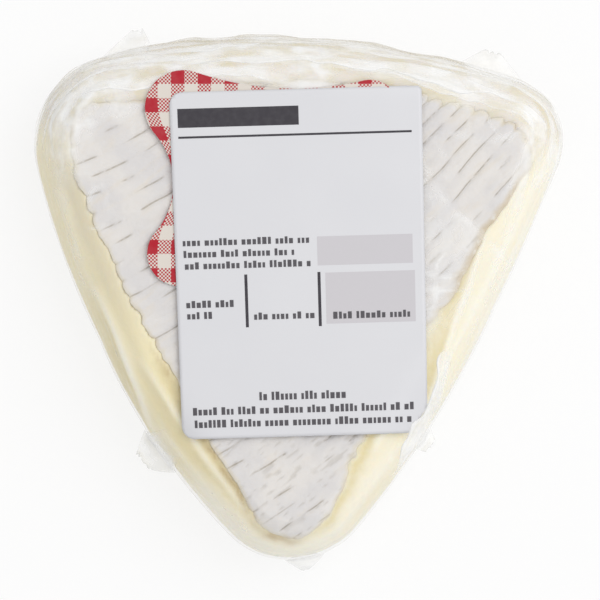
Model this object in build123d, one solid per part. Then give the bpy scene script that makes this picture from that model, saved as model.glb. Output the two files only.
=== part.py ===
"""A sixth of a wheel of soft white-rind cheese, wrapped in clear film, with two stickers on top.

Row frame: the wedge lies on its bottom rind, +Z up, the tip towards -Y and the back
of the wheel towards +Y. The origin is the middle of the whole pack's box, at its base.
"""

from build123d import *
from math import atan2, copysign, cos, degrees, hypot, pi, radians, sin, sqrt
import os

# Driving dimensions, in millimetres. The plan is drawn at the widest level of the wall,
# as three round corners joined by three shallow arcs.
CHEESE_HEIGHT = 27.0
BACK_LEFT_AT = (-39.6, 35.8)
BACK_LEFT_RADIUS = 21.6
BACK_RIGHT_AT = (45.8, 36.9)
BACK_RIGHT_RADIUS = 14.8
TIP_AT = (-1.7, -41.1)
TIP_RADIUS = 18.6
LEFT_FACE_RADIUS = 191.0
RIGHT_FACE_RADIUS = 330.0
BACK_RADIUS = 185.0

# The soft wall bulges: it is widest a little below half height and runs in
# to the flat rinds above and below.
WIDEST_LEVEL = 0.45
TOP_RUN_IN = 11.5
BOTTOM_RUN_IN = 9.0
WALL_LEVELS = 9
WALL_END_DEG = 76.0

# Clear film, all its layers together, drawn thick enough to mesh.
FILM_THICKNESS = 0.4
FILM_CLEARANCE = 0.1

# Gathered folds of film along the back edge: distance of each fold's outer edge
# from the back outline, its width and how far it stands proud.
BACK_FOLDS = [(1.2, 3.4, 0.5), (5.6, 3.8, 0.8), (10.4, 3.2, 0.5)]
FOLD_SIDE_MARGIN = 16.0

# Torn corners of film that stick out of the wrap at its widest level: the place as a share
# of the way round the outline, anticlockwise from the back left corner, the reach, the
# root's width, how far the torn end leans anticlockwise and the torn end's width.
FILM_CORNERS = {
    "left_face": (0.28, 5.0, 12.5, 0.0, 5.0),
    "tip": (0.39, 2.6, 8.5, 0.5, 3.0),
    "right_face": (0.50, 2.2, 6.0, -0.5, 3.6),
    "back_right": (0.765, 4.8, 16.0, 1.0, 4.0),
    "back_left": (0.99, 4.6, 12.0, -3.4, 2.6),
}
CORNER_ROOT = 6.0
CORNER_THICKNESS = 0.6
TORN_TEETH = 4
TORN_DEPTH = 0.7

# Patterned sticker: four round lobes, joined by hollow sides. The lobes run anticlockwise
# from the back right one, each with its place from the sticker's middle and its radius.
# Each hollow's radius belongs to the side between that lobe and the next.
STICKER_AT = (-6.4, 27.8)
STICKER_TURN_DEG = -1.5
STICKER_LOBES = [
    ((22.4, 17.4), 6.5),
    ((-20.8, 16.2), 8.8),
    ((-20.8, -17.4), 7.4),
    ((22.3, -15.2), 6.7),
]
STICKER_HOLLOWS = [70.0, 17.4, 53.0, 20.8]
STICKER_THICKNESS = 0.2

# Price label: a rounded rectangle.
LABEL_AT = (0.5, 8.1)
LABEL_SIZE = (57.5, 80.0)
LABEL_CORNER_RADIUS = 3.6
LABEL_TURN_DEG = 1.8
LABEL_THICKNESS = 0.2
STICKER_GAP = 0.1
LOWEST_STICKER_LEVEL = 0.72

CORNERS = [
    (BACK_LEFT_AT, BACK_LEFT_RADIUS),
    (TIP_AT, TIP_RADIUS),
    (BACK_RIGHT_AT, BACK_RIGHT_RADIUS),
]
SIDES = [LEFT_FACE_RADIUS, RIGHT_FACE_RADIUS, BACK_RADIUS]
FILM_OUTSET = FILM_CLEARANCE + FILM_THICKNESS
BASE_LEVEL = FILM_OUTSET


def arc_centre(first, second, radius):
    """Centre of the arc of this radius that touches two round corners.

    The corners are passed anticlockwise. The centre of a bulging arc lies on their left,
    and that of a hollow arc, which has a negative radius, on their right.
    """
    (x1, y1), r1 = first
    (x2, y2), r2 = second
    span = hypot(x2 - x1, y2 - y1)
    reach1, reach2 = radius - r1, radius - r2
    along = (reach1**2 - reach2**2 + span**2) / (2 * span)
    across = copysign(sqrt(reach1**2 - along**2), radius)
    ux, uy = (x2 - x1) / span, (y2 - y1) / span
    return x1 + along * ux - across * uy, y1 + along * uy + across * ux


SIDE_CENTRES = [
    arc_centre(CORNERS[i], CORNERS[(i + 1) % len(CORNERS)], SIDES[i]) for i in range(len(SIDES))
]


def heading(start, end):
    """Angle of the line from start to end, in radians."""
    return atan2(end[1] - start[1], end[0] - start[0])


def arc(centre, radius, start_angle, end_angle):
    """Anticlockwise arc between two headings seen from its centre."""
    if end_angle < start_angle:
        end_angle += 2 * pi
    headings = start_angle, (start_angle + end_angle) / 2, end_angle
    points = [(centre[0] + radius * cos(a), centre[1] + radius * sin(a)) for a in headings]
    return ThreePointArc(*points)


def plan(outset):
    """The wedge's outline, moved outwards by outset, as a face at height 0."""
    edges = []
    for i, (centre, radius) in enumerate(CORNERS):
        before, after = SIDE_CENTRES[i - 1], SIDE_CENTRES[i]
        start, end = heading(before, centre), heading(after, centre)
        edges.append(arc(centre, radius + outset, start, end))
        following = CORNERS[(i + 1) % len(CORNERS)][0]
        edges.append(arc(after, SIDES[i] + outset, end, heading(after, following)))
    return Face(Wire(edges))


def wedge(outset):
    """The bulging wedge with its whole surface moved outwards by outset."""
    below = WIDEST_LEVEL * CHEESE_HEIGHT
    above = CHEESE_HEIGHT - below
    sections = []
    for level in range(WALL_LEVELS):
        turn = radians(WALL_END_DEG * (2 * level / (WALL_LEVELS - 1) - 1))
        rise, run_in = (above, TOP_RUN_IN) if turn > 0 else (below, BOTTOM_RUN_IN)
        share = sin(turn) / sin(radians(WALL_END_DEG))
        z = BASE_LEVEL + below + (rise + outset) * share
        sections.append(Pos(0, 0, z) * plan(outset - run_in * (1 - cos(turn))))
    return loft(sections)


def upright(face):
    """A prism on this plan, from the lowest level a sticker reaches up past the pack."""
    low = BASE_LEVEL + LOWEST_STICKER_LEVEL * CHEESE_HEIGHT
    return Pos(0, 0, low) * extrude(face, CHEESE_HEIGHT)


def sticker_plan():
    """Four round lobes, with a hollow arc between each two neighbours."""
    following = STICKER_LOBES[1:] + STICKER_LOBES[:1]
    hollows = [arc_centre(*pair, -r) for *pair, r in zip(STICKER_LOBES, following, STICKER_HOLLOWS)]
    edges = []
    for i, (place, radius) in enumerate(STICKER_LOBES):
        before, after = hollows[i - 1], hollows[i]
        edges.append(arc(place, radius, heading(place, before), heading(place, after)))
        start, end = heading(after, following[i][0]), heading(after, place)
        edges.append(arc(after, STICKER_HOLLOWS[i], start, end))
    return Pos(*STICKER_AT) * Rot(0, 0, STICKER_TURN_DEG) * Face(Wire(edges))


def label_plan():
    """The price label's outline as it lies on the pack."""
    outline = RectangleRounded(*LABEL_SIZE, LABEL_CORNER_RADIUS)
    return Pos(*LABEL_AT) * Rot(0, 0, LABEL_TURN_DEG) * outline


def laid_on(face, gap, thickness):
    """A thin sheet of this plan that follows the film at a gap."""
    over, under = wedge(FILM_OUTSET + gap + thickness), wedge(FILM_OUTSET + gap)
    return upright(face) & (over - under)


def back_fold(from_edge, width, proud):
    """One gathered fold: a raised band of film that follows the back edge."""
    centre = SIDE_CENTRES[-1]
    outer = BACK_RADIUS + FILM_OUTSET - from_edge
    ring = Circle(outer) - Circle(outer - width)
    reach = BACK_RIGHT_AT[0] - BACK_LEFT_AT[0] + FOLD_SIDE_MARGIN
    middle = (BACK_LEFT_AT[0] + BACK_RIGHT_AT[0]) / 2
    strip = Pos(middle, BACK_RIGHT_AT[1] + reach / 2) * Rectangle(reach, reach)
    band = (Pos(*centre) * ring) & strip
    return upright(band) & wedge(FILM_OUTSET + proud)


def film_corner(share, reach, width, lean, torn_width):
    """A torn corner of film: a thin wedge that starts inside the wall and ends ragged."""
    outline = plan(FILM_OUTSET).outer_wire()
    root, along = outline.position_at(share), outline.tangent_at(share)
    outward = degrees(atan2(-along.X, along.Y))
    points = [(0, -width / 2), (-CORNER_ROOT, -width / 2), (-CORNER_ROOT, width / 2), (0, width / 2)]
    for tooth in range(TORN_TEETH + 1):
        across = lean + torn_width * (0.5 - tooth / TORN_TEETH)
        points.append((reach - (TORN_DEPTH if tooth % 2 else 0), across))
    flat = make_face(Polyline(*points, close=True))
    level = BASE_LEVEL + WIDEST_LEVEL * CHEESE_HEIGHT - CORNER_THICKNESS / 2
    return Pos(root.X, root.Y, level) * Rot(0, 0, outward) * extrude(flat, CORNER_THICKNESS)


def film():
    """The wrap: a closed skin round the cheese with its folds and torn corners."""
    wrap = wedge(FILM_OUTSET)
    clear_of = [upright(offset(face, STICKER_GAP)) for face in (sticker_plan(), label_plan())]
    for fold in BACK_FOLDS:
        band = back_fold(*fold)
        for cover in clear_of:
            band -= cover
        wrap += band
    for corner in FILM_CORNERS.values():
        wrap += film_corner(*corner)
    return wrap - wedge(FILM_CLEARANCE)


def pack():
    """Every separate piece, by node name."""
    return {
        "cheese": wedge(0),
        "film": film(),
        "patterned_sticker": laid_on(sticker_plan(), STICKER_GAP, STICKER_THICKNESS),
        "price_label": laid_on(
            label_plan(), 2 * STICKER_GAP + STICKER_THICKNESS, LABEL_THICKNESS
        ),
    }


def main():
    pieces = pack()
    box = Compound(list(pieces.values())).bounding_box()
    to_origin = Pos(-box.center().X, -box.center().Y, -box.min.Z)
    os.makedirs("parts", exist_ok=True)
    for name, piece in pieces.items():
        export_step(to_origin * piece.solid(), f"parts/{name}.step")


main()
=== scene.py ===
"""The looks of a film-wrapped wedge of soft white-rind cheese, built round its CAD frame.

The frame lies on its bottom rind with +Z up, the tip towards -Y and the back of the wheel
towards +Y. Sizes are in millimetres, and MM turns them into Blender's metres.
"""

import bmesh
import bpy
import itertools
import math
import numpy as np
from mathutils import Matrix, Vector
from mathutils.bvhtree import BVHTree


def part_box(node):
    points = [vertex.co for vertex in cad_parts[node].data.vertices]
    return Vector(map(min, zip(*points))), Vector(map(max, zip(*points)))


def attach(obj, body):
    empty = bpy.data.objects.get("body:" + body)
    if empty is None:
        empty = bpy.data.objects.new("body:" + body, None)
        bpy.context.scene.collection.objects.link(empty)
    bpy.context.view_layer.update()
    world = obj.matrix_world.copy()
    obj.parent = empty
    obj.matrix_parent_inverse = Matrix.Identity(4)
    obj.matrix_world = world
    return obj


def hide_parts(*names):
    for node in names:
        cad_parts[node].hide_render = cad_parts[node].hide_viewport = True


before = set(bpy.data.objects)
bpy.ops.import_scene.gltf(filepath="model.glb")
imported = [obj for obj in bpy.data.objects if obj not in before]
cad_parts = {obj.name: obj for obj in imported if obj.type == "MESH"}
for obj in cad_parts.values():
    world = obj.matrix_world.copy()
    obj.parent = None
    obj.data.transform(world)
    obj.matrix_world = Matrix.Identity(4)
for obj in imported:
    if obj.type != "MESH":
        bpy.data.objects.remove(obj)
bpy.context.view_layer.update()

MM = 0.001
WELD = 0.001
UP = Vector((0, 0, 1))

# Places in the fields below are picked out by soft steps in x and y, in millimetres from the
# pack's middle, or in degrees round it.

# The cheese: its widest level as a share of its height, the room left under the film, and its
# mesh.
WIDEST_LEVEL = 0.45
UNDER_FILM = 0.12
# The heights of its broad swells, its dragged streaks and the wrinkles of its side, the most
# that swells and wrinkles stand out, and the share of the film's pleats that it follows.
SWELL = 0.3
DRAG = 0.25
WRINKLE = 0.2
SWELL_LIMIT = 0.1
PLEAT_SHARE = 0.85
BODY_VOXEL = 0.8
SMOOTHING_ROUNDS = 12
ALL_AXES = {"use_axis_x": True, "use_axis_y": True, "use_axis_z": True}

# The ribbed rind on top: how far its edge lies inside the outline, by heading from the middle.
RIND_MARGIN = {
    -180: 11.0, -157: 11.3, -142: 10.8, -123: 9.6, -108: 8.4, -99: 5.6, -89: 4.6, -81: 7.0,
    -71: 9.8, -54: 12.6, -17: 12.0, -5: 11.5, 5: 9.4, 14: 9.4, 21: 9.2, 26: 7.0, 30: 5.0,
    34: 7.4, 38: 9.6, 46: 9.4, 60: 8.9, 90: 9.5, 118: 10.8, 132: 11.2, 139: 7.6, 150: 8.4,
    160: 9.4,
}
# Its mesh, the room cut for it, how far it lies below the CAD surface, how far its edge curls
# down and how widely, and its highest relief. Then its rolled rim: how far each step goes
# outwards and down.
RIND_STEP = 0.34
RIND_DEPTH = 1.3
RIND_SINK = 0.12
RIND_CURL = 0.2
RIND_CURL_WIDTH = 0.8
RELIEF_LIMIT = 0.25
RIM_STEPS = ((0.12, 0.55), (-0.9, 0.75))
# The ribs run up to the right and bend a little.
RIB_PITCH = 3.6
RIB_SLOPE = 0.8
RIB_TURN = 0.003
RIB_HEADING = math.atan(RIB_SLOPE)
RIB_ACROSS = math.cos(RIB_HEADING)
# Their creases' width and their depths, closed and further where open, how far the ribs
# stand out between them, and the depth of the crumbled pits.
CREASE_WIDTH = 0.34
CREASE_CLOSED = 0.06
CREASE_OPEN = 0.4
RIB_PILLOW = 0.15
CRUMB_DEPTH = 0.13
# Stretches of the way round, by heading, with soft starts and ends: the wheel's own side, where
# the rind runs down the wall, the rind's fingers and its torn lip, and the film's gathered back.
WHEEL_SIDE = ((27, 35), (142, 149))
RIGHT_FINGERS = ((33, 40), (70, 85))
TORN_LIP = ((-4, 8), (26, 32))
GATHERED_BACK = ((20, 36), (140, 154))
# The heading of the back left corner, where shares of the way round start.
OUTLINE_START = 127.3
# The levels between which the walls' relief grows, above the flat underside, and how far
# inside the outline the rind of the underside starts.
FOOT = (0.4, 3.0)
BASE_RIND_MARGIN = 8.5

# Film: how far off the cheese it lies on the walls, how much further on the slopes above them,
# and further again over the top.
WALL_OUTSET = 0.2
SLOPE_OUTSET = 0.12
TOP_OUTSET = 0.1
FILM_VOXEL = 0.6
# How far from the stickers the film's folds start and are in full.
COVER_CLEARANCE = (0.5, 3.5)
# Folds along the gathered back and the cut faces: rows, place of the first, spacing, width
# and seed; then how far each row wanders, and how far apart the rows lie in the noise.
BACK_FOLDS = (8, 9.5, -3.9, 1.9, 61)
FACE_FOLDS = (6, 3.0, -4.4, 1.3, 71)
WANDER = 2.4
ROW_APART = 50.0
# How far things lift the wrap: the back's folds, the faces' folds, the second layer, the slack
# of the back and fine crinkles. Then how milky it is made by the back's patches, its folds, the
# faces' folds, the second layer, that layer's edge and the crumples.
GATHER_LIFT = 0.8
STREAK_LIFT = 0.14
LAYER_LIFT = 0.1
SLACK_LIFT = 0.45
CRINKLE_LIFT = 0.05
GATHER_HAZE = 0.62
FOLD_HAZE = 0.3
STREAK_HAZE = 0.12
LAYER_HAZE = 0.3
EDGE_HAZE = 0.2
CRUMPLE_HAZE = 0.45
# A point on the second layer's cut edge, and the way that edge runs.
OVERLAP_AT = (29.3, 28.2)
OVERLAP_HEADING = -45.0
# Pleats of the tight film, which the soft paste follows: start and end as shares of the way
# round, how far inside the outline at the start, middle and end, height, width, haze, which is
# milky film and a painted highlight along the ridge, and how much yellower and darker the paste
# is painted outside the pleat, or inside it where that is negative, as painted shade beside the
# pleat. That last number also sets the painted highlight along the pleat's crest.
PLEATS = [
    (0.205, 0.385, 0.0, 0.0, 0.0, 0.9, 5.0, 0.0, 0.0),
    (0.415, 0.590, 0.0, 0.0, 0.0, 0.9, 5.0, 0.0, 0.0),
    (0.170, 0.276, 3.6, 3.3, -0.4, 0.9, 1.3, 0.1, 1.0),
    (0.222, 0.374, 6.0, 6.2, 4.4, 0.6, 1.3, 0.06, 0.7),
    (0.262, 0.392, 1.6, 2.8, 0.8, 0.6, 1.4, 0.12, 0.5),
    (0.312, 0.392, 4.0, 3.6, 2.0, 0.35, 1.1, 0.08, 0.3),
    (0.404, 0.500, 2.4, 3.4, 1.4, 0.35, 1.5, 0.14, 0.1),
    (0.480, 0.640, -2.2, 5.2, 9.0, 0.7, 0.7, 0.22, -1.0),
    (0.604, 0.704, 3.4, 5.2, 6.6, 0.4, 1.6, 0.2, 0.0),
    (0.560, 0.680, 1.6, 2.2, 2.6, 0.35, 1.3, 0.12, 0.0),
    (0.030, 0.190, 3.0, 3.6, 2.4, 0.4, 1.6, 0.25, 0.2),
    (-0.02, 0.110, 6.4, 6.8, 5.2, 0.5, 1.6, 0.3, 0.2),
    (0.000, 0.080, 3.8, 4.4, 4.0, 0.5, 1.3, 0.3, 0.3),
]
# Loose film: its gap off the wrap, each sheet's further gap, its thickness, how far inside the
# outline its rays start, how far they mostly run, and its mesh.
LAYER_GAP = 0.12
LAYER_STEP = 0.012
SHEET_THICKNESS = 0.05
RAY_DEPTH = 9.0
RAY_REACH = 14.0
RIBBON_STEP = 0.7
RIBBON_ACROSS = 10
CORNER_STEPS = (14, 16)
# Loose folds: start and end as shares of the way round, anticlockwise from the back left
# corner, the lean of the ray to it at both ends, its width, its lift and its haze.
BACK_RIBBONS = [
    (0.70, 0.87, 74, 78, 3.0, 0.4, 0.3),
    (0.89, 1.06, 88, 78, 3.6, 0.4, 0.4),
    (0.72, 0.97, 64, 70, 3.8, 0.5, 0.5),
    (0.93, 1.08, 62, 54, 3.6, 0.5, 0.5),
    (0.68, 0.86, 50, 44, 3.8, 0.6, 0.5),
    (0.82, 1.04, 40, 48, 3.8, 0.6, 0.5),
    (0.70, 0.92, 24, 28, 3.8, 0.6, 0.5),
    (0.88, 1.07, 16, 22, 3.8, 0.6, 0.5),
    (0.72, 1.00, -4, 0, 4.0, 0.5, 0.4),
    (0.75, 1.04, -30, -24, 4.0, 0.5, 0.4),
]
# The fold over the label's lower right corner, in the same terms.
LABEL_FLAP = (0.470, 0.556, 50, 66, 7.4, 1.0, 0.62)
FLAP_SEED = 20
# Torn corners: share of the way round, reach, root width, sideways lean and torn width, then
# the lean of the ray to its root and its haze. The plan of each is close to the CAD film's own.
TORN_CORNERS = [
    (0.28, 5.0, 12.5, 0.0, 5.0, 62, 0.45),
    (0.395, 2.8, 9.5, -0.3, 1.6, 40, 0.45),
    (0.50, 2.2, 6.0, -0.5, 3.6, 70, 0.6),
    (0.765, 4.8, 16.0, 1.0, 4.0, 70, 0.65),
    (0.99, 4.6, 12.0, -3.4, 2.6, 72, 0.6),
]
# The share of each that lies on the wall, and the lean of the ray where it leaves the wall.
ROOT_SHARE = 0.55
CORNER_LEAN = 6.0

# The patterned sticker's checks: two stripes crossed, pinched in between its lobes, with finer
# checks where one stripe runs alone.
LOBE_SPACING = 34.0
CHECK_PERIODS = (6.17, 6.54)
CHECK_NUDGE = (-0.1, 0.45)
CHECK_PINCH = 0.2
FINE_CHECK = 0.42

# The price label: its place, outline, draping, mesh, paper and ink.
LABEL_NUDGE = (-0.25, 0.85)
LABEL_SIZE = (57.5, 80.1)
LABEL_TURN = math.radians(1.65)
LABEL_TAPER = 0.00035
LABEL_CORNER = 3.0
SHARP_CORNER = 1.0
LABEL_OUTSET = 1.08
LABEL_TUCK = 2.2
LABEL_STEP = 0.8
LABEL_THICKNESS = 0.16
INK_LIFT = 0.012
SMALL_PRINT_LIFT = 4 * INK_LIFT
INK_THICKNESS = 0.02
LAY_VOXEL = 1.0
# The strokes of the small print: their least and greatest widths, their heights as shares of
# the line's, the gaps after a stroke and after a word, and how near a line's end the last starts.
STROKE_WIDTHS = (0.55, 1.0)
STROKE_HEIGHTS = (1, 1, 1.35)
STROKE_GAP = 0.35
WORD_GAP = 1.1
LINE_END = 0.5
# Printed boxes: left, bottom, right and top. Lines of small print: left, right, bottom and the
# height of a stroke.
DARK_PRINT = [
    (-27.0, 31.8, 0.6, 36.2), (-27.0, 29.3, 26.3, 29.8),
    (-13.0, -14.6, -12.3, -2.4), (3.9, -14.8, 4.6, -2.3),
]
GREY_PRINT = [(4.0, -0.8, 26.0, 5.9), (5.7, -14.3, 26.4, -2.5)]
TEXT_LINES = [
    (-26.9, 3.0, 4.5, 1.2), (-26.8, -0.5, 1.8, 1.2), (-26.6, 2.9, -0.9, 1.2),
    (-26.6, -15.0, -9.8, 1.2), (-26.5, -20.7, -12.4, 1.2), (-11.0, 2.7, -12.9, 1.2),
    (7.3, 25.0, -13.2, 1.2), (-10.4, 10.2, -31.5, 1.4), (-26.0, 25.4, -34.6, 1.3),
    (-25.7, 24.8, -37.5, 1.3),
]


def smooth(low, high, values):
    """0 below low, 1 above high, and a soft step between."""
    share = np.clip((values - low) / (high - low), 0, 1)
    return share * share * (3 - 2 * share)


def between(stretch, values):
    """1 inside a stretch, 0 outside it, with its soft start and its soft end."""
    start, end = stretch
    return smooth(*start, values) * (1 - smooth(*end, values))


def hump(values, centre, width):
    """A soft bump of height 1 at the centre."""
    return np.exp(-(((values - centre) / width) ** 2))


def noise(points, size, seed):
    """Smooth lattice noise from -1 to 1, with lumps of this size, or of one size for each axis."""
    table = np.random.default_rng(seed).uniform(-1, 1, 8192)
    scaled = points / np.asarray(size, float)
    cell = np.floor(scaled).astype(np.int64)
    share = scaled - cell
    share = share * share * (3 - 2 * share)
    strides = np.array([1, 619, 2903])[: points.shape[1]]
    total = np.zeros(len(points))
    for corner in itertools.product((0, 1), repeat=points.shape[1]):
        weight = np.prod(np.where(corner, share, 1 - share), axis=1)
        total += weight * table[((cell + corner) @ strides) % len(table)]
    return total


def columns(*values):
    """Several rows of numbers side by side, as points."""
    return np.stack(values, axis=1)


def cad_copy(node):
    """A CAD node's surface as a bmesh of joined triangles, in millimetres."""
    shape = bmesh.new()
    shape.from_mesh(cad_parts[node].data)
    bmesh.ops.transform(shape, matrix=Matrix.Scale(1 / MM, 4), verts=shape.verts)
    bmesh.ops.remove_doubles(shape, verts=shape.verts, dist=WELD)
    return shape


def turn_outwards(shape):
    """Turns a closed bmesh's faces outwards, also where it is one thin sheet."""
    bmesh.ops.recalc_face_normals(shape, faces=shape.faces)
    if shape.calc_volume(signed=True) < 0:
        bmesh.ops.reverse_faces(shape, faces=shape.faces)


def grid(along, up, half):
    """A flat square bmesh round the middle, cut into this many parts each way."""
    shape = bmesh.new()
    bmesh.ops.create_grid(shape, x_segments=along, y_segments=up, size=half)
    return shape


def to_mesh(shape, name, soft=True):
    """The bmesh, whose faces are turned outwards, as a mesh with its shading smooth, or flat."""
    for face in shape.faces:
        face.smooth = soft
    mesh = bpy.data.meshes.new(name)
    shape.to_mesh(mesh)
    shape.free()
    return mesh


def in_scene(name, data):
    """A new object in the scene, made of this mesh, lamp or camera."""
    made = bpy.data.objects.new(name, data)
    bpy.context.scene.collection.objects.link(made)
    return made


def pour(shape, whole):
    """Adds one bmesh's mesh to another, and frees the first."""
    flat = bpy.data.meshes.new("sheet")
    shape.to_mesh(flat)
    shape.free()
    whole.from_mesh(flat)
    bpy.data.meshes.remove(flat)


def remeshed(shape, voxel, name):
    """The closed bmesh as an even mesh of small quads, smoothed."""
    turn_outwards(shape)
    carrier = in_scene(name, to_mesh(shape, name))
    even = carrier.modifiers.new("even", "REMESH")
    even.mode = "VOXEL"
    even.voxel_size = voxel
    graph = bpy.context.evaluated_depsgraph_get()
    result = bpy.data.meshes.new_from_object(carrier.evaluated_get(graph))
    bpy.data.objects.remove(carrier)
    again = bmesh.new()
    again.from_mesh(result)
    for _ in range(SMOOTHING_ROUNDS):
        bmesh.ops.smooth_vert(again, verts=again.verts, factor=0.5, **ALL_AXES)
    turn_outwards(again)
    return to_mesh(again, name)


def points_of(mesh, kind="co"):
    """The places of a mesh's vertices, or their normals, one row for each."""
    flat = np.empty(len(mesh.vertices) * 3)
    mesh.vertices.foreach_get(kind, flat)
    return flat.reshape(-1, 3)


def tree_of(mesh, points):
    """The mesh with its vertices at these points, as a tree to measure from."""
    return BVHTree.FromPolygons(points.tolist(), [list(face.vertices) for face in mesh.polygons])


def set_points(mesh, points):
    mesh.vertices.foreach_set("co", points.ravel())
    mesh.update()


def store(mesh, **fields):
    """Keeps named numbers or places, one of each for each vertex, for a material to read."""
    for name, values in fields.items():
        kind, part = ("FLOAT", "value") if values.ndim == 1 else ("FLOAT_VECTOR", "vector")
        mesh.attributes.new(name, kind, "POINT").data.foreach_set(part, values.ravel())


def piece(name, mesh, material, slot, *nodes):
    """The mesh, which is in millimetres, as a finished piece that rides on the pack."""
    mesh.transform(Matrix.Scale(MM, 4))
    mesh.materials.append(material)
    made = in_scene(name, mesh)
    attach(made, "root")
    if nodes:
        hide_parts(*nodes)
    return made


CHEESE_LOW, CHEESE_HIGH = (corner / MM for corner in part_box("cheese"))
WIDEST = CHEESE_LOW.z + WIDEST_LEVEL * (CHEESE_HIGH.z - CHEESE_LOW.z)


def middle_of(node):
    """The middle of a CAD node's box on the plan."""
    low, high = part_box(node)
    return np.array(((low.x + high.x) / 2, (low.y + high.y) / 2)) / MM


CHECKS_MIDDLE = middle_of("patterned_sticker") + CHECK_NUDGE
LABEL_MIDDLE = middle_of("price_label") + LABEL_NUDGE


class Outline:
    """The wedge's plan at its widest level, as a convex ring that runs anticlockwise."""

    def __init__(self):
        shape = cad_copy("cheese")
        whole = [*shape.verts, *shape.edges, *shape.faces]
        cut = bmesh.ops.bisect_plane(shape, geom=whole, plane_co=UP * WIDEST, plane_no=UP)
        corners = [part for part in cut["geom_cut"] if isinstance(part, bmesh.types.BMVert)]
        ring = np.array([corner.co.xy for corner in corners])
        shape.free()
        turns = np.degrees(np.arctan2(ring[:, 1], ring[:, 0]))
        self.ring = ring[np.argsort((turns - OUTLINE_START) % 360)]
        steps = np.roll(self.ring, -1, axis=0) - self.ring
        lengths = np.hypot(*steps.T)
        self.along = steps / lengths[:, None]
        self.inward = columns(-self.along[:, 1], self.along[:, 0])
        self.travel = np.concatenate(([0], np.cumsum(lengths)))

    def read(self, points):
        """For each point: how far it lies inside the outline, the way inwards there, and how
        far along the outline it is."""
        plan = points[:, :2]
        depths = plan @ self.inward.T - np.sum(self.ring * self.inward, axis=1)
        nearest = np.argmin(depths, axis=1)
        inset = depths[np.arange(len(plan)), nearest]
        ahead = np.sum((plan - self.ring[nearest]) * self.along[nearest], axis=1)
        return inset, self.inward[nearest], self.travel[nearest] + ahead

    def at(self, shares):
        """Points on the outline at these shares of the way round, and the ways outwards."""
        travel = (np.asarray(shares) % 1) * self.travel[-1]
        closed = np.vstack([self.ring, self.ring[:1]])
        places = [np.interp(travel, self.travel, line) for line in closed.T]
        middles = (self.travel[:-1] + self.travel[1:]) / 2
        outs = [np.interp(travel, middles, -way, period=self.travel[-1]) for way in self.inward.T]
        outs = columns(*outs)
        return columns(*places), outs / np.hypot(*outs.T)[:, None]


outline = Outline()


def ring(travel, across):
    """Places on a round band as long as the outline, so that a pattern on them has no seam."""
    radius = outline.travel[-1] / (2 * math.pi)
    return columns(radius * np.cos(travel / radius), radius * np.sin(travel / radius), across)


def ring_noise(travel, across, length, width, seed):
    """Noise with lumps of this length along the outline and this width across it."""
    return noise(ring(travel, across), (length, length, width), seed)


def headings(points):
    """The heading of each point from the middle, in degrees anticlockwise from +X."""
    return np.degrees(np.arctan2(points[:, 1], points[:, 0]))


def above_foot(points):
    """0 on the flat underside and at the foot of the walls, 1 above it."""
    return smooth(CHEESE_LOW.z + FOOT[0], CHEESE_LOW.z + FOOT[1], points[:, 2])


def ribs(points):
    """The mat's ribs pressed into the rind: the count of creases passed on the way across
    them, each point's distance from its nearest crease, and how open that crease is there."""
    x, y = points.T[:2]
    plan = points[:, :2]
    wander = 0.3 * noise(plan, 19, 21) + 0.06 * noise(plan, 5, 22)
    count = (y - RIB_SLOPE * x - RIB_TURN * x * x) * RIB_ACROSS / RIB_PITCH + wander
    crease = np.round(count)
    aside = np.abs(count - crease) * RIB_PITCH
    along = x * RIB_ACROSS + y * math.sqrt(1 - RIB_ACROSS**2)
    broad = noise(plan, 26, 23)
    # Each crease opens and closes by itself, from a row of the noise far from the others'.
    runs = noise(columns(along, crease * 37.0), (4.4, 1), 24)
    finger = smooth(15, 42, y) * smooth(10, 35, x)
    opening = smooth(0.05, 0.6, runs + 0.3 * broad + 0.6 * finger + 0.1 * smooth(0, -30, x))
    return count, aside, opening


def rind_edge(points):
    """How far each point lies inside the ribbed rind's ragged edge; negative outside it."""
    inset, _, _ = outline.read(points)
    turn = headings(points)
    x, y = points.T[:2]
    plan = points[:, :2]
    keys = sorted(RIND_MARGIN)
    margin = np.interp(turn, keys, [RIND_MARGIN[key] for key in keys], period=360)
    _, aside, opening = ribs(points)
    # Rib ends stand out like fingers at the back right, and less evenly at the back left. The
    # edge is straighter towards the tip.
    right_fingers = between(RIGHT_FINGERS, turn)
    left_fingers = smooth(0.3, 0.6, np.cos(np.radians(turn - 195))) * (0.35 + 0.65 * opening)
    left_fingers = left_fingers * smooth(-44, -8, y)
    notch = (smooth(0, 1.2, aside) - 0.6) * (right_fingers + 0.36 * left_fingers)
    ragged = 0.6 * noise(plan, 5.5, 31) + 0.46 * noise(plan, 1.9, 32)
    straight = smooth(-16, -26, y) * smooth(2, -6, x)
    ragged = ragged * (1 - 0.6 * straight) + 0.25 * right_fingers * noise(plan, 3.6, 33)
    return inset - margin - ragged + notch


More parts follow.
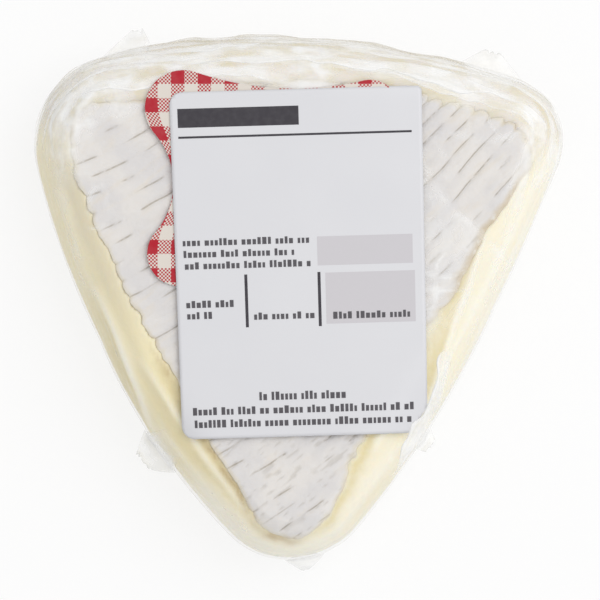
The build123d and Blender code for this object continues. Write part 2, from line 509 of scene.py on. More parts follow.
def pleats(points, travel, inset):
    """The long pleats of the tight film: their height, their haze, which is milky film and a
    painted highlight along the ridge, how yellow they leave the paste outside them as painted
    shade, and how pale it is along their crests as a painted highlight."""
    height, haze, yellow, crest = np.zeros((4, len(points)))
    whole = outline.travel[-1]
    for start, end, first, middle, last, tall, width, milk, shade in PLEATS:
        along = ((travel / whole - start) % 1) / (end - start)
        inside = (along > 0) & (along < 1)
        bow = 4 * (middle - (first + last) / 2) * along * (1 - along)
        line = first + (last - first) * along + bow
        line = line + 0.3 * ring_noise(travel, 0 * line + 90 * start, 9, 1, 62)
        taper = np.sin(math.pi * np.clip(along, 0, 1)) ** 0.6 * inside
        past = inset - line
        ridge = np.where(past < 0, hump(past, 0, 0.5 * width), hump(past, 0, width)) * taper
        height += tall * ridge
        behind = smooth(0, 0.5 * width, past) * smooth(7, 2, past) * taper
        # Milky film along the ridge, which also serves as a painted highlight on it.
        haze += milk * ridge + 0.3 * milk * behind
        # Painted shade: the paste beside the pleat is painted yellower and darker. Painted
        # highlight: it is painted paler along the crest.
        beside = past * math.copysign(1, shade)
        reach = 4.2 if shade > 0 else 7.0
        strip = smooth(0.2, -0.7, beside) * smooth(-reach, -reach / 3, beside)
        yellow += abs(shade) * strip * taper
        crest += abs(shade) * hump(past, 0.4, 0.6) * taper
    above = smooth(WIDEST - 5, WIDEST, points[:, 2])
    yellow, crest = np.clip((yellow, crest), 0, 1) * above
    return height * above, haze * above, yellow, crest


def cheese_body(material):
    """The soft paste, which bulges at the cut faces, and the rind of the back and the base."""
    mesh = remeshed(cad_copy("cheese"), BODY_VOXEL, "cheese_body")
    points, normals = points_of(mesh), points_of(mesh, "normal")
    x, y, z = points.T
    inset, _, travel = outline.read(points)
    edge = rind_edge(points)
    side = between(WHEEL_SIDE, headings(points))
    above = smooth(WIDEST, WIDEST + 5, z)
    drop = CHEESE_HIGH.z - z
    # Broad swells and dragged streaks along the cut faces, a furrow just outside the rind,
    # and room for the rind plate.
    down = drop - inset
    drag = ring_noise(travel, down, 38, 3.4, 45) + 0.5 * ring_noise(travel, down, 20, 1.6, 46)
    swell = SWELL * ring_noise(travel, drop, 24, 9, 41) + DRAG * drag * (1 - side)
    low_left = smooth(-8, -22, y) * smooth(4, -6, x) * above
    deep = np.maximum(smooth(-20, -30, y) * smooth(-2, 8, x), low_left)
    groove = hump(edge, -1.1 - 0.7 * deep, 1.0 + 0.7 * deep) * above
    recess = RIND_DEPTH * smooth(-0.5, 1.0, edge) * above
    wrinkles = WRINKLE * side * noise(points, (3.2, 3.2, 2.0), 43)
    pleat, _, yellow, crest = pleats(points, travel, inset)
    pleat = pleat * smooth(0.5, -1.5, edge) * (1 - side) * clear_of_covers(points)
    left = smooth(0, -25, x) * (1 - side)
    patches = noise(points[:, :2], 3.5, 47) + 0.5 * noise(points[:, :2], 1.2, 48)
    brown = hump(edge, -1.0, 0.9) * low_left * (0.35 + 0.65 * smooth(-0.2, 0.6, patches))
    lift = np.minimum(swell * smooth(0, 4, -edge), SWELL_LIMIT)
    lift = lift + np.minimum(wrinkles, SWELL_LIMIT) + PLEAT_SHARE * pleat
    lift -= UNDER_FILM + 0.1 * above + recess + (0.06 + 0.4 * deep) * groove
    set_points(mesh, points + normals * (lift * above_foot(points))[:, None])
    # The left's dragged streaks are painted yellower, as painted shade of their folds. The furrow
    # beside the rind is painted olive, partly the paste's own colour there and partly painted shade
    # in the furrow.
    streaked = 0.4 * left * np.clip(0.4 + 0.7 * drag, 0, 1)
    yellow = np.maximum(np.maximum(groove * (0.2 + 0.7 * deep), streaked), yellow)
    pale_tip = smooth(-34, -48, y) * smooth(6, 2, inset) * smooth(16, 4, x)
    store(
        mesh,
        edge=np.where(z > WIDEST, edge, inset - BASE_RIND_MARGIN),
        side=side,
        drag=0.5 + 0.5 * drag,
        yellow=np.clip(yellow, 0, 1),
        # Painted highlight along the pleats' crests, and a paler tip.
        crest=np.maximum(crest, 0.9 * pale_tip),
        left=left,
        # Painted shade on the upper left beside the rind.
        shaded=left * above * smooth(-14, 4, y) * smooth(-7, -1.5, edge),
        brown=brown,
    )
    return piece("cheese_body", mesh, material, "cheese", "cheese")


def cut_along(shape, field):
    """Cuts the mesh along the line where the field is 0, and drops its negative part."""
    values = field(np.array([vert.co for vert in shape.verts]))
    shape.verts.index_update()
    crossing = {}
    for bar in shape.edges:
        first, second = (values[vert.index] for vert in bar.verts)
        if (first < 0) != (second < 0):
            crossing[bar] = float(first / (first - second))
    bmesh.ops.subdivide_edges(shape, edges=list(crossing), cuts=1, edge_percents=crossing)
    shape.verts.ensure_lookup_table()
    outside = [shape.verts[i] for i in np.flatnonzero(values < 0)]
    bmesh.ops.delete(shape, geom=outside, context="VERTS")


def shoot_down(tree, points, top=60.0):
    """The height of the surface under each plan point, or the lowest found where there is none."""
    heights = np.full(len(points), np.nan)
    for i, (x, y) in enumerate(points[:, :2]):
        hit = tree.ray_cast(Vector((x, y, top)), -UP)[0]
        if hit is not None:
            heights[i] = hit.z
    heights[np.isnan(heights)] = np.nanmin(heights)
    return heights


def rind_plate(material):
    """The ribbed white rind of the top, as a thin plate with a ragged, curled edge."""
    half = max(CHEESE_HIGH - CHEESE_LOW) / 2
    steps = round(2 * half / RIND_STEP)
    shape = grid(steps, steps, half)
    cut_along(shape, rind_edge)
    rim = [bar for bar in shape.edges if bar.is_boundary]
    for out, down in RIM_STEPS:
        made = bmesh.ops.extrude_edge_only(shape, edges=rim)["geom"]
        fresh = [part for part in made if isinstance(part, bmesh.types.BMVert)]
        bars = [part for part in made if isinstance(part, bmesh.types.BMEdge)]
        rim = [bar for bar in bars if bar.is_boundary]
        _, inward, _ = outline.read(np.array([vert.co for vert in fresh]))
        for vert, way in zip(fresh, inward):
            vert.co += Vector((-way[0] * out, -way[1] * out, -down))
    bmesh.ops.contextual_create(shape, geom=rim)
    turn_outwards(shape)
    mesh = to_mesh(shape, "rind_plate")

    points = points_of(mesh)
    plan = points[:, :2]
    heights = shoot_down(node_tree("cheese"), points)
    edge = np.maximum(rind_edge(points), 0)
    count, aside, opening = ribs(points)
    tip = smooth(-18, -34, points[:, 1])
    crease = (CREASE_CLOSED + CREASE_OPEN * opening) * hump(aside, 0, CREASE_WIDTH)
    pillow = RIB_PILLOW * smooth(0, RIB_PITCH / 2, aside)
    crumbs = smooth(0.35, 0.9, noise(plan @ rotation(RIB_HEADING), (2.2, 0.55), 51))
    relief = (
        pillow - crease - CRUMB_DEPTH * crumbs * (0.3 + tip)
        + 0.2 * noise(plan, 12, 52) + 0.09 * noise(plan, 2.6, 53) + 0.04 * noise(plan, 1.1, 54)
        - RIND_CURL * np.exp(-edge / RIND_CURL_WIDTH) - RIND_SINK
    )
    points[:, 2] += heights + np.minimum(relief, RELIEF_LIMIT)
    set_points(mesh, points)
    lip = between(TORN_LIP, headings(points))
    store(mesh, edge=edge, count=count, opening=opening, crumbs=crumbs * (0.2 + tip), lip=lip)
    return piece("rind_plate", mesh, material, "cheese")


def rotation(angle):
    """The matrix that turns row points by this angle, clockwise for a positive one."""
    return np.array(((math.cos(angle), -math.sin(angle)), (math.sin(angle), math.cos(angle))))


def surface_at(outset):
    """The cheese's plain surface moved outwards, for pieces to be laid on."""
    mesh = remeshed(cad_copy("cheese"), LAY_VOXEL, "laid_on")
    tree = tree_of(mesh, points_of(mesh) + points_of(mesh, "normal") * outset)
    bpy.data.meshes.remove(mesh)
    return tree


def folds(travel, across, rows, first, spacing, width, seed):
    """Soft folds that run along the outline, each row wandering across it: their height."""
    total = np.zeros(len(travel))
    for row in range(rows):
        line = np.full(len(travel), ROW_APART * row)
        centre = first + spacing * row + WANDER * ring_noise(travel, line, 19, 1, seed)
        centre = centre + 0.8 * ring_noise(travel, line, 7, 1, seed + 1)
        breadth = width * (1 + 0.45 * ring_noise(travel, line, 15, 1, seed + 2))
        strength = smooth(-0.35, 0.5, ring_noise(travel, line, 17, 1, seed + 3))
        ridge = np.clip(1 - np.abs(across - centre) / breadth, 0, 1)
        total = np.maximum(total, strength * ridge * (1.6 - 0.6 * ridge))
    return total


def node_tree(node):
    """A CAD node's surface as a tree, to measure from."""
    shape = cad_copy(node)
    tree = BVHTree.FromBMesh(shape)
    shape.free()
    return tree


COVERS = [node_tree(node) for node in ("patterned_sticker", "price_label")]


def clear_of_covers(places):
    """0 under the stickers and close to them, 1 well clear of them."""
    nearest = [min(tree.find_nearest(Vector(place))[3] for tree in COVERS) for place in places]
    return smooth(*COVER_CLEARANCE, np.array(nearest))


def film_wrap(material):
    """The clear film drawn tight round the cheese, gathered along the back, and its surface
    as a tree for more film to be laid on."""
    mesh = remeshed(cad_copy("cheese"), FILM_VOXEL, "film_wrap")
    points, normals = points_of(mesh), points_of(mesh, "normal")
    x, y, z = points.T
    inset, _, travel = outline.read(points)
    drop = CHEESE_HIGH.z - z
    above = smooth(WIDEST - 1, WIDEST + 2, z)
    across = np.where(z > WIDEST, inset - drop, -drop - inset)
    back = between(GATHERED_BACK, headings(points))
    gathers = folds(travel, across, *BACK_FOLDS) * back * smooth(14, 9, across)
    streaks = folds(travel, across, *FACE_FOLDS) * (1 - back) * smooth(5, 0, across)
    crinkle = ring_noise(travel, across, 5, 1.6, 91)
    pleat, pleat_haze, _, _ = pleats(points, travel, inset)
    # A second layer lies over part of the right side, and ends in a straight cut edge.
    heading = math.radians(OVERLAP_HEADING)
    beyond = (points[:, :2] - OVERLAP_AT) @ (math.sin(heading), -math.cos(heading))
    near = (x > 0) * above * smooth(-14, -4, y)
    beyond = beyond + 0.5 * noise(points[:, :2], 7, 97)
    doubled = smooth(-0.6, 0.6, beyond) * near
    lift = GATHER_LIFT * gathers + STREAK_LIFT * streaks + LAYER_LIFT * doubled + pleat
    slack = back * ring_noise(travel, across, 8, 5, 95) * smooth(14, 9, across)
    lift = lift + SLACK_LIFT * slack + CRINKLE_LIFT * crinkle * (1 - smooth(9, 14, inset))
    lift = lift * clear_of_covers(points)
    outset = WALL_OUTSET + (SLOPE_OUTSET + TOP_OUTSET * smooth(4, 9, inset)) * above
    points = points + normals * (outset + lift * above_foot(points))[:, None]
    x, y, _ = points.T
    plan = points[:, :2]
    set_points(mesh, points)
    milk = ring_noise(travel, across, 9, 3.6, 92) + 0.6 * ring_noise(travel, across, 4.4, 2.2, 93)
    aside = 5 * smooth(0, 25, x) - 3 * smooth(10, -30, x)
    reach = across - 3.5 * ring_noise(travel, across, 11, 6, 96) + aside
    gathered = back * smooth(13, 7, reach) * smooth(-0.65, 0.3, milk)
    edge_line = hump(beyond, 0, 0.9) * near
    thin = 0.1 * smooth(-0.5, 0.8, ring_noise(travel, across, 30, 3.5, 94)) * smooth(11, 8, inset)
    # Milkier film at the far left's outer edge: partly milky film and partly painted light on the
    # steep left wall.
    thin = thin + 0.1 * smooth(4, 0, inset) * above * smooth(-30, -45, x) * (1 - back)
    doubled = doubled * (0.3 + 0.7 * smooth(9, 11, inset))
    # Thin crumple lines over the rind, where the film is slack.
    loose = smooth(7, 10, inset) * above * smooth(12, 22, np.abs(x)) * smooth(-12, 4, y)
    crumpled = np.maximum(hump(noise(plan, 11, 98), 0, 0.07), hump(noise(plan, 6, 99), 0, 0.06))
    crumpled = loose * crumpled * smooth(-0.2, 0.5, noise(plan, 8, 100))
    haze = GATHER_HAZE * gathered + FOLD_HAZE * gathers + STREAK_HAZE * streaks
    haze = haze + LAYER_HAZE * doubled + EDGE_HAZE * edge_line + CRUMPLE_HAZE * crumpled
    # The pleats' haze is milky film and a painted highlight along their ridges.
    store(mesh, haze=np.clip(haze + thin + pleat_haze, 0, 1), wrap=ring(travel, across))
    tree = tree_of(mesh, points)
    see_through(piece("film_wrap", mesh, material, "film", "film"))
    return tree


def see_through(film_piece):
    """Thin clear film holds back hardly any light, so it casts no shade."""
    film_piece.visible_shadow = False
    film_piece.visible_diffuse = False


def on_film(tree, shares, leans, gap, lifts, over_covers=False):
    """Places on the wrap: at these shares of the way round, on rays that lean up by these
    degrees from just inside the wall, and lifted off the film."""
    starts, outs = outline.at(shares)
    starts = starts - outs * RAY_DEPTH
    hits, ways = [], []
    for (x, y), (out_x, out_y), lean in zip(starts, outs, np.radians(leans)):
        way = Vector((out_x * math.cos(lean), out_y * math.cos(lean), math.sin(lean)))
        hits.append(tree.ray_cast(Vector((x, y, WIDEST)), way)[0])
        ways.append(way)
    free = 1 if over_covers else clear_of_covers(hits)
    return [hit + way * lift for hit, way, lift in zip(hits, ways, gap + lifts * free)]


class Strip:
    """A flat unit strip of film, with a haze and a pattern place for each vertex."""

    def __init__(self, along_steps, across_steps):
        self.shape = grid(along_steps, across_steps, 0.5)
        bmesh.ops.translate(self.shape, vec=(0.5, 0.5, 0), verts=self.shape.verts)
        self.along, self.across, _ = np.array([vert.co for vert in self.shape.verts]).T

    def lay(self, places, haze, pattern):
        milky = self.shape.verts.layers.float.new("haze")
        wrap = self.shape.verts.layers.float_vector.new("wrap")
        haze = np.clip(haze, 0, 1)
        for vert, place, value, spot in zip(self.shape.verts, places, haze, pattern):
            vert.co = place
            vert[milky] = value
            vert[wrap] = Vector(spot)
        return self.shape


def ribbon(tree, start, end, lean_start, lean_end, width, lift, haze, seed, over_covers=False):
    """One loose fold of film along the wrap: it tapers to both ends, its edges wander,
    and its upper edge stands free, milkier along it as a painted highlight."""
    length = (end - start) * outline.travel[-1]
    strip = Strip(max(8, round(length / RIBBON_STEP)), RIBBON_ACROSS)
    along, over = strip.along, strip.across
    way = columns(along * length, np.full(len(along), 40.0 * seed))
    taper = np.sin(math.pi * np.clip(along, 0.004, 0.996)) ** 0.45
    breadth = np.degrees(width / RAY_REACH) * taper
    upper = 0.5 + 0.38 * noise(way, (8, 1), 201) + 0.12 * noise(way, (3.2, 1), 202)
    lower = 0.5 + 0.35 * noise(way, (13, 1), 203)
    sway = 0.5 * math.degrees(width / RAY_REACH) * noise(way, (17, 1), 204)
    lean = lean_start + (lean_end - lean_start) * along + sway
    lean = lean + breadth * (over * upper - (1 - over) * lower)
    spread = columns(along * length, over * width)
    ripple = noise(spread, (5, 1.4), 205 + seed)
    raised = lift * over**2 * (1 + 0.3 * ripple) * taper + 0.03 * np.abs(ripple)
    shares = start + (end - start) * along
    gap = LAYER_GAP + LAYER_STEP * seed
    places = on_film(tree, shares, lean, gap, raised, over_covers)
    patches = 0.75 + 0.45 * noise(spread, (7, 2.2), 206 + seed)
    soft = smooth(0, 0.45, over) * smooth(0, 0.15, along) * smooth(1, 0.85, along)
    # Milkier along the free upper edge: a painted highlight on the fold's edge.
    mist = haze * soft * (patches + 0.9 * hump(over, 1, 0.13))
    pattern = ring(shares * outline.travel[-1], RAY_REACH * np.radians(lean) + 30 * seed)
    return strip.lay(places, mist, pattern)


def joined(name, shapes, material):
    """Several sheets of film as one piece, each with its thickness."""
    whole = bmesh.new()
    whole.verts.layers.float.new("haze")
    whole.verts.layers.float_vector.new("wrap")
    for shape in shapes:
        bmesh.ops.solidify(shape, geom=list(shape.faces), thickness=SHEET_THICKNESS)
        turn_outwards(shape)
        pour(shape, whole)
    see_through(piece(name, to_mesh(whole, name), material, "film"))


def torn_corner(tree, share, reach, width, lean, torn_width, root_lean, haze, seed):
    """A corner of film pulled off the wall: it leaves the wrap, stands out and ends ragged."""
    strip = Strip(*CORNER_STEPS)
    out, over = strip.across, strip.along - 0.5
    length = outline.travel[-1]
    beyond = np.clip((out - ROOT_SHARE) / (1 - ROOT_SHARE), 0, 1)
    on_wall = np.clip(out / ROOT_SHARE, 0, 1)
    narrow = width * (0.6 + 0.4 * on_wall) * (1 - beyond) + torn_width * beyond
    shift = over * narrow + lean * beyond
    rays = root_lean * (1 - on_wall) + CORNER_LEAN * on_wall
    jagged = noise(columns(over * torn_width, over * 0), (0.7, 1), 301 + seed)
    teeth = 1 - 0.2 * np.abs(jagged) * beyond
    places = on_film(tree, share + shift / length, rays, LAYER_GAP, 0 * out)
    _, outs = outline.at(np.full(len(out), share))
    crumple = noise(columns(shift, out * 12), (3.5, 2.5), 302 + seed)
    far = beyond * reach * teeth
    drop = 0.9 * crumple * beyond - 0.5 * beyond
    moves = columns(*(outs * far[:, None]).T, drop)
    places = [place + Vector(move) for place, move in zip(places, moves)]
    sides = smooth(0.5, 0.36, np.abs(over)) * (1 - beyond) + beyond
    mist = haze * smooth(0, 0.7, on_wall) * sides * (0.8 + 0.5 * crumple) + 0.25 * haze * beyond**6
    pattern = ring(share * length + shift, out * 12 + 30 * seed)
    return strip.lay(places, mist, pattern)


def label_plan(points):
    """Places on the label, from its middle, as places on the plan."""
    narrowed = columns(points[:, 0] * (1 + LABEL_TAPER * points[:, 1]), points[:, 1])
    return narrowed @ rotation(-LABEL_TURN) + LABEL_MIDDLE


def label_edge(points):
    """How far a place lies inside the label's outline: rounded, but for its sharper top right
    corner, and tucked in where it would pass the pack's edge."""
    radius = np.where(points[:, :2].min(axis=1) > 0, SHARP_CORNER, LABEL_CORNER)
    past = np.abs(points[:, :2]) - np.array(LABEL_SIZE) / 2 + radius[:, None]
    corner = np.hypot(*np.maximum(past, 0).T) + np.minimum(past.max(axis=1), 0)
    inset, _, _ = outline.read(label_plan(points))
    return np.minimum(radius - corner, inset - LABEL_TUCK) + WELD


def flat_patch(width, length):
    """A flat oblong of small squares, its middle at the label's own."""
    patch = grid(*(max(1, round(side / LABEL_STEP)) for side in (width, length)), 0.5)
    bmesh.ops.scale(patch, vec=(width, length, 1), verts=patch.verts)
    return patch


def laid_patch(shape, lifted, thickness):
    """Lays a flat patch, drawn in the label's own places, on the pack, with the soft waves of
    damp paper, and gives it a thickness."""
    points = np.array([vert.co for vert in shape.verts])
    plan = label_plan(points)
    waves = 0.1 * noise(points[:, :2], (22, 30), 101) + 0.05 * noise(points[:, :2], (9, 12), 102)
    heights = shoot_down(label_bed, plan) + waves + lifted
    for vert, (x, y), z in zip(shape.verts, plan, heights):
        vert.co = x, y, z
    bmesh.ops.recalc_face_normals(shape, faces=shape.faces)
    bmesh.ops.solidify(shape, geom=list(shape.faces), thickness=thickness)
    turn_outwards(shape)


def label_paper(material):
    """The price label, draped over the pack. A fold of film lies over one of its corners."""
    shape = flat_patch(*LABEL_SIZE)
    cut_along(shape, label_edge)
    laid_patch(shape, 0, LABEL_THICKNESS)
    mesh = to_mesh(shape, "label_paper")
    return piece("label_paper", mesh, material, "label_paper", "price_label")


def printed(name, boxes, material, lifted=INK_LIFT):
    """Plain printed boxes: left, bottom, right and top, in the label's own places."""
    whole = bmesh.new()
    for left, bottom, right, top in boxes:
        patch = flat_patch(right - left, top - bottom)
        middle = ((left + right) / 2, (bottom + top) / 2, 0)
        bmesh.ops.translate(patch, vec=middle, verts=patch.verts)
        cut_along(patch, label_edge)
        if patch.faces:
            laid_patch(patch, lifted, INK_THICKNESS)
        pour(patch, whole)
    return piece(name, to_mesh(whole, name, soft=False), material, "label_paper")


def text_lines():
    """Rows of short plain strokes where small print would stand."""
    draw = np.random.default_rng(111)
    boxes = []
    for left, right, bottom, height in TEXT_LINES:
        start, word_left = left, draw.integers(2, 8)
        while start < right - LINE_END:
            wide = draw.uniform(*STROKE_WIDTHS)
            top = bottom + height * draw.choice(STROKE_HEIGHTS)
            boxes.append((start, bottom, start + wide, top))
            word_left -= 1
            start += wide + (STROKE_GAP if word_left else WORD_GAP)
            word_left = word_left or draw.integers(2, 9)
    return boxes


# Materials.
class Wire:
    """A socket's value in a material, which takes part in ordinary arithmetic."""

    def __init__(self, shader, socket):
        self.shader, self.socket = shader, socket

    def maths(self, operation, *others):
        """A Math node that works on this value and, for most operations, one more."""
        return self.shader.maths(operation, self, *others)

    def __add__(self, other):
        return self.maths("ADD", other)

    def __sub__(self, other):
        return self.maths("SUBTRACT", other)

    def __rsub__(self, other):
        return self.shader.maths("SUBTRACT", other, self)

    def __mul__(self, other):
        return self.maths("MULTIPLY", other)

    def __truediv__(self, other):
        return self.maths("DIVIDE", other)

    __radd__ = __add__
    __rmul__ = __mul__

    def step(self, low, high):
        """A soft step, from 0 below low to 1 above high."""
        settings = {"interpolation_type": "SMOOTHSTEP"}
        values = {"Value": self, "From Min": low, "From Max": high}
        return self.shader.node("ShaderNodeMapRange", settings, values, "Result")


class Shader:
    """A material and the nodes in it."""

    def __init__(self, name):
        self.material = bpy.data.materials.new(name)
        self.material.use_nodes = True
        self.tree = self.material.node_tree
        self.tree.nodes.clear()

    def node(self, kind, settings=None, sockets=(), output=0):
        """Adds a node, with its settings first, and gives the wanted output, if any."""
        made = self.tree.nodes.new(kind)
        for name, value in (settings or {}).items():
            setattr(made, name, value)
        entries = sockets.items() if isinstance(sockets, dict) else enumerate(sockets)
        for key, value in entries:
            if isinstance(value, Wire):
                self.tree.links.new(value.socket, made.inputs[key])
            else:
                made.inputs[key].default_value = value
        return None if output is None else Wire(self, made.outputs[output])

    def maths(self, operation, *values):
        return self.node("ShaderNodeMath", {"operation": operation}, values)

    def place(self):
        """Object coordinates, in millimetres."""
        metres = self.node("ShaderNodeTexCoord", output="Object")
        sockets = {0: metres, "Scale": 1 / MM}
        return self.node("ShaderNodeVectorMath", {"operation": "SCALE"}, sockets)

    def stored(self, name):
        return self.node("ShaderNodeAttribute", {"attribute_name": name}, output="Fac")

    def wrap_place(self):
        """Places that run round the pack and across its walls, in millimetres."""
        return self.node("ShaderNodeAttribute", {"attribute_name": "wrap"}, output="Vector")

    def grain(self, vector, size, detail=2.0, stretch=(1, 1, 1), turn=0.0):
        """Noise from 0 to 1 with lumps of this size in millimetres, longer where stretched and
        turned anticlockwise."""
        lumps = [size * longer for longer in stretch]
        sockets = {"Vector": vector, "Rotation": (0, 0, turn), "Scale": lumps}
        placed = self.node("ShaderNodeMapping", {"vector_type": "TEXTURE"}, sockets)
        sockets = {"Vector": placed, "Scale": 1.0, "Detail": detail}
        return self.node("ShaderNodeTexNoise", None, sockets)

    def mix(self, share, first, second):
        """A colour between two others."""
        sockets = {0: share, 6: first, 7: second}
        return self.node("ShaderNodeMix", {"data_type": "RGBA"}, sockets, 2)

    def bump(self, height, distance, strength=1.0):
        sockets = {"Height": height, "Distance": distance * MM, "Strength": strength}
        return self.node("ShaderNodeBump", None, sockets)

    def principled(self, **sockets):
        named = {name.replace("_", " "): value for name, value in sockets.items()}
        return self.node("ShaderNodeBsdfPrincipled", None, named)

    def output(self, surface):
        self.node("ShaderNodeOutputMaterial", None, {"Surface": surface}, None)
        return self.material


def tint(red, green, blue):
    """A colour given as it shows on a screen, from 0 to 255, in Blender's linear terms."""
    shown = [value / 255 for value in (red, green, blue)]
    linear = [part / 12.92 if part <= 0.04045 else ((part + 0.055) / 1.055) ** 2.4
              for part in shown]
    return (*linear, 1)


PASTE = tint(245, 237, 211)
PASTE_PALE = tint(248, 243, 225)
# Yellower and a little darker: the left side's own tone, and painted shade for the side away from
# the key lamp.
PASTE_LEFT_TONE_AND_SHADE = tint(242, 230, 187)
# The paste's olive, used for real stains on the rind skin and as painted shade.
PASTE_DEEP = tint(226, 212, 162)
PASTE_BROWN = tint(186, 160, 110)
# A painted highlight along the pleats' crests, and the paler tip.
PASTE_CREST = tint(253, 248, 232)
# The rind shoulder's own colour, also used as painted shade on the upper left.
SHOULDER = tint(221, 212, 188)
RIND = tint(227, 223, 219)
RIND_COOL = tint(219, 216, 215)
RIND_WARM = tint(225, 217, 205)
# Grey-olive in the creases and pits, partly painted shade in them.
CREASE_OLIVE_AND_SHADE = tint(158, 148, 130)
RIND_TAN = tint(200, 182, 150)
FILM = tint(243, 243, 242)
PAPER = tint(221, 221, 224)
PAPER_DIM = tint(216, 216, 220)
INK = tint(48, 44, 52)
INK_GREY = tint(203, 200, 204)
INK_SMALL = tint(78, 75, 80)
CHECK_RED = tint(178, 26, 44)
CHECK_CREAM = tint(222, 214, 205)


# How much of the film shows: face on, more at a slant and where it is milky, and at most.
FACE_ON_SHARE = 0.03
SLANT_SHARE = 0.24
MILKY_SHARE = 0.85
MOST_SHARE = 0.93


def film_material():
    """Clear wrapping film: nearly nothing face on, glossy at a slant, milky where it gathers."""
    look = Shader("clear_film")
    place = look.wrap_place()
    haze = look.stored("haze")
    slant = look.node("ShaderNodeLayerWeight", None, {"Blend": 0.25}, "Facing")
    veil = look.grain(place, 3.0, 1.0, (1.6, 1.6, 1)).step(0.25, 0.75)
    milky = haze * (0.6 + 0.8 * veil)
    share = FACE_ON_SHARE + SLANT_SHARE * slant * slant + MILKY_SHARE * milky
    share = look.node("ShaderNodeClamp", None, [share, 0.0, MOST_SHARE])
    relief = look.bump(look.grain(place, 2.4, 1.5, (1.7, 1.7, 1)), 0.16, 0.6)
    skin = look.principled(Base_Color=FILM, Roughness=0.25, IOR=1.45, Normal=relief)
    clear = look.node("ShaderNodeBsdfTransparent")
    return look.output(look.node("ShaderNodeMixShader", None, [share, clear, skin]))


def paper_material():
    """Smooth label paper with a faint mottle."""
    look = Shader("label_paper")
    place = look.place()
    colour = look.mix(look.grain(place, 18), PAPER, PAPER_DIM)
    relief = look.bump(look.grain(place, 0.25), 0.02, 0.4)
    return look.output(look.principled(Base_Color=colour, Roughness=0.45, Normal=relief))


def ink_material(name, colour):
    look = Shader(name)
    uneven = look.mix(look.grain(look.place(), 1.5, 3.0).step(0.3, 0.9) * 0.03, colour, PAPER)
    return look.output(look.principled(Base_Color=uneven, Roughness=0.5))


def checked_material():
    """Red and cream checks: plain red where two stripes cross, fine checks under one alone."""
    look = Shader("checked_print")
    place = look.place()
    sockets = {"Vector": place, "Location": (*CHECKS_MIDDLE, 0)}
    centred = look.node("ShaderNodeMapping", {"vector_type": "TEXTURE"}, sockets)
    x, y = (look.node("ShaderNodeSeparateXYZ", None, [centred], axis) for axis in "XY")

    def stripe(value, period):
        """1 on the stripes, one of which lies across the middle, and 0 between them."""
        return (value / period + 0.75).maths("FRACT").maths("LESS_THAN", 0.5)

    def crossed(first, second):
        """1 where just one of two stripes is."""
        return first + second - 2 * first * second

    level = (y * (2 / LOBE_SPACING)).maths("ABSOLUTE")
    pinched = x * (1 + CHECK_PINCH * (1 - level.step(0.0, 1.0)))
    across, along = stripe(pinched, CHECK_PERIODS[0]), stripe(y, CHECK_PERIODS[1])
    fine = crossed(stripe(pinched, 2 * FINE_CHECK), stripe(y, 2 * FINE_CHECK))
    red = across * along + crossed(across, along) * fine
    faded = look.grain(place, 2.0, 3.0)
    colour = look.mix(red * (0.92 + 0.12 * faded), CHECK_CREAM, CHECK_RED)
    return look.output(look.principled(Base_Color=colour, Roughness=0.6, Specular_IOR_Level=0.25))


def paste_material():
    """Ivory paste, olive at the rind's furrow, partly as painted shade there. Painted shade also
    falls on the left side, its dragged streaks, the upper left and beside the film's pleats, and
    painted highlights lie along the pleats' crests. With the creamy rind of the back and the base.
    """
    look = Shader("ripe_paste")
    place = look.place()
    edge, side, drag = look.stored("edge"), look.stored("side"), look.stored("drag")
    blotch = look.grain(place, 14, 3.0)
    fine = look.grain(place, 1.6, 4.0)
    # Paler along the raised dragged streaks and in random blotches: partly the paste's own tone and
    # partly painted light and shade on the streaks.
    paste = look.mix((0.55 * drag + 0.45 * blotch).step(0.3, 0.7), PASTE, PASTE_PALE)
    # The left side, away from the key lamp, is painted yellower and a little darker: partly its own
    # tone and partly painted shade.
    paste = look.mix(look.stored("left") * 0.75, paste, PASTE_LEFT_TONE_AND_SHADE)
    # Painted shade on the upper left beside the rind, in the shoulder's duller colour.
    paste = look.mix(look.stored("shaded") * 0.85, paste, SHOULDER)
    # Painted shade beside the pleats and on the left's streaks; in the rind's furrow, partly the
    # paste's own olive and partly painted shade.
    paste = look.mix(look.stored("yellow") * (0.6 + 0.8 * fine), paste, PASTE_DEEP)
    # Painted highlight along the pleats' crests; the same colour makes the tip paler.
    paste = look.mix(look.stored("crest") * 0.9, paste, PASTE_CREST)
    paste = look.mix(look.stored("brown") * 0.8, paste, PASTE_BROWN)
    skin = look.mix(look.grain(place, 5, 4.0).step(0.42, 0.62), SHOULDER, RIND_WARM)
    stained = look.grain(place, 3.0, 5.0, (2.5, 2.5, 1)).step(0.55, 0.75)
    skin = look.mix(stained * 0.3, skin, PASTE_DEEP)
    colour = look.mix(side.maths("MAXIMUM", (edge + fine).step(0.2, 1.0)), paste, skin)
    surface = look.principled(
        Base_Color=colour,
        Roughness=0.42 + 0.25 * side,
        Subsurface_Weight=0.2,
        Subsurface_Radius=(1.0, 0.75, 0.4),
        Subsurface_Scale=2.0 * MM,
        Normal=look.bump(look.grain(place, 0.9, 3.0), 0.12, 0.5),
    )
    return look.output(surface)


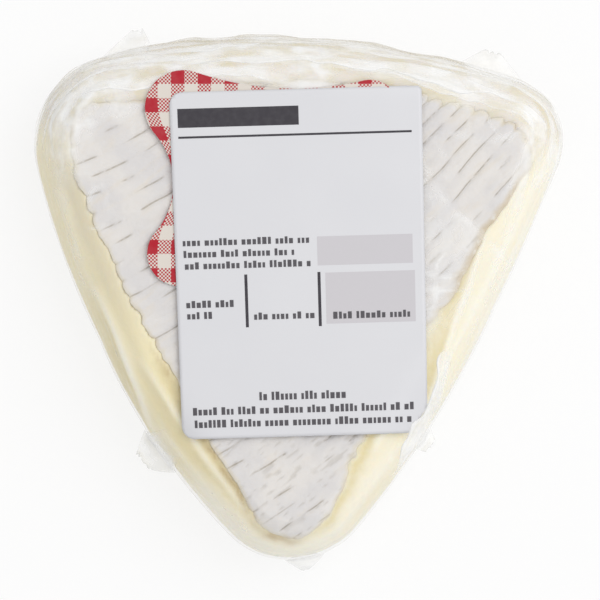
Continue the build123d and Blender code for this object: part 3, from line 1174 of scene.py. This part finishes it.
def rind_material():
    """Chalk-white mould, with grey-olive creases and pits darkened partly as painted shade, and tan
    at the torn edges.
    """
    look = Shader("white_rind")
    place = look.place()
    edge, crumbs = look.stored("edge"), look.stored("crumbs")
    soft = look.grain(place, 9, 3.0)
    streaks = look.grain(place, 2.0, 3.0, (4, 1, 1), RIB_HEADING)
    fuzz = look.grain(place, 0.45, 4.0)
    colour = look.mix(soft.step(0.35, 0.65), RIND, RIND_COOL)
    colour = look.mix(streaks.step(0.5, 0.75) * 0.5, colour, RIND_WARM)
    # The creases, darker where they open wider and deeper, and the crumbled pits are painted
    # grey-olive: partly the colour in them and partly painted shade in these narrow hollows.
    phase = (look.stored("count") + 0.5).maths("FRACT")
    aside = (phase - 0.5).maths("ABSOLUTE") * RIB_PITCH
    ragged = look.grain(place, 1.2, 3.0, (2.5, 1, 1), RIB_HEADING)
    line = (1 - (aside + ragged * 0.35).step(0.15, 0.5)) * look.stored("opening")
    colour = look.mix(line * 0.8 * ragged.step(0.3, 0.55), colour, CREASE_OLIVE_AND_SHADE)
    colour = look.mix(crumbs * 0.2, colour, CREASE_OLIVE_AND_SHADE)
    rough = look.grain(place, 2.0, 3.0)
    thin = 1 - (edge * 0.55 + rough).step(0.35, 1.25)
    colour = look.mix(thin * 0.65, colour, SHOULDER)
    worn = (1 - (edge + fuzz).step(0.5, 1.6)) * look.grain(place, 7, 2.0).step(0.45, 0.7)
    lip = look.stored("lip") * (1 - (edge * 0.4 + rough * 0.8).step(0.6, 1.5)) * rough.step(0.3, 0.5)
    colour = look.mix(worn * 0.5 + lip * 0.8, colour, RIND_TAN)
    height = fuzz * 0.5 + look.grain(place, 1.3, 3.0)
    surface = look.principled(
        Base_Color=colour,
        Roughness=0.85,
        Subsurface_Weight=0.15,
        Subsurface_Radius=(1.0, 0.9, 0.8),
        Subsurface_Scale=0.8 * MM,
        Normal=look.bump(height, 0.15, 0.6),
    )
    return look.output(surface)


cheese_body(paste_material())
rind_plate(rind_material())
film = film_material()
film_tree = film_wrap(film)
gathers = [ribbon(film_tree, *row, seed) for seed, row in enumerate(BACK_RIBBONS)]
joined("film_gathers", gathers, film)
joined("film_flap", [ribbon(film_tree, *LABEL_FLAP, FLAP_SEED, over_covers=True)], film)
corners = [torn_corner(film_tree, *row, seed) for seed, row in enumerate(TORN_CORNERS)]
joined("film_corners", corners, film)
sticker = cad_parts["patterned_sticker"]
for held in sticker.material_slots:
    held.material = checked_material()
label_bed = surface_at(LABEL_OUTSET)
label_paper(paper_material())
printed("label_print", DARK_PRINT, ink_material("dark_ink", INK))
printed("label_fields", GREY_PRINT, ink_material("grey_ink", INK_GREY))
small_ink = ink_material("small_ink", INK_SMALL)
printed("label_lines", text_lines(), small_ink, SMALL_PRINT_LIFT)


# Stage, light and camera. The view's width is at its level. The lamp and the floor are in metres.
VIEW_WIDTH = 138.9
CAMERA_DISTANCE = 2200.0
CAMERA_AIM = (0.5, -0.05)
VIEW_LEVEL = 20.0
SENSOR_WIDTH = 36.0
KEY_AT = (0.62, 0.32, 1.0)
KEY_SIZE = 1.0
KEY_POWER = 6.2
SKY_STRENGTH = 0.73
FLOOR_HALF = 3.0
FLOOR_GLOW = 0.8


def key_lamp():
    """A square soft light from the right and behind, aimed at the middle of the pack."""
    data = bpy.data.lights.new("key", "AREA")
    data.size = KEY_SIZE
    data.energy = KEY_POWER
    made = in_scene("key", data)
    made.location = KEY_AT
    made.rotation_mode = "QUATERNION"
    made.rotation_quaternion = (-Vector(KEY_AT)).to_track_quat("-Z", "Y")


def floor():
    """A matt white floor that looks evenly bright to the camera."""
    mesh = to_mesh(grid(1, 1, FLOOR_HALF), "floor", soft=False)
    look = Shader("white_floor")
    white = look.principled(Base_Color=(0.9, 0.9, 0.9, 1), Roughness=0.9)
    bright = look.node("ShaderNodeEmission", None, {"Color": (1, 1, 1, 1), "Strength": 1.0})
    seen = sum(
        look.node("ShaderNodeLightPath", output=f"Is {kind} Ray")
        for kind in ("Camera", "Glossy", "Transmission")
    )
    surface = look.node("ShaderNodeMixShader", None, [seen * FLOOR_GLOW, white, bright])
    mesh.materials.append(look.output(surface))
    made = in_scene("floor", mesh)


def sky():
    """Even white light from all round."""
    world = bpy.data.worlds.new("studio")
    world.use_nodes = True
    background = world.node_tree.nodes["Background"]
    background.inputs["Color"].default_value = (1, 1, 1, 1)
    background.inputs["Strength"].default_value = SKY_STRENGTH
    bpy.context.scene.world = world


def camera():
    """A camera that looks straight down, with +Y at the top of its picture."""
    data = bpy.data.cameras.new("camera")
    data.sensor_width = SENSOR_WIDTH
    data.lens = SENSOR_WIDTH * CAMERA_DISTANCE / VIEW_WIDTH
    data.clip_end = 10.0
    made = in_scene("camera", data)
    made.location = Vector((*CAMERA_AIM, VIEW_LEVEL + CAMERA_DISTANCE)) * MM
    bpy.context.scene.camera = made


floor()
sky()
camera()
key_lamp()
bpy.context.scene.view_settings.view_transform = "Standard"
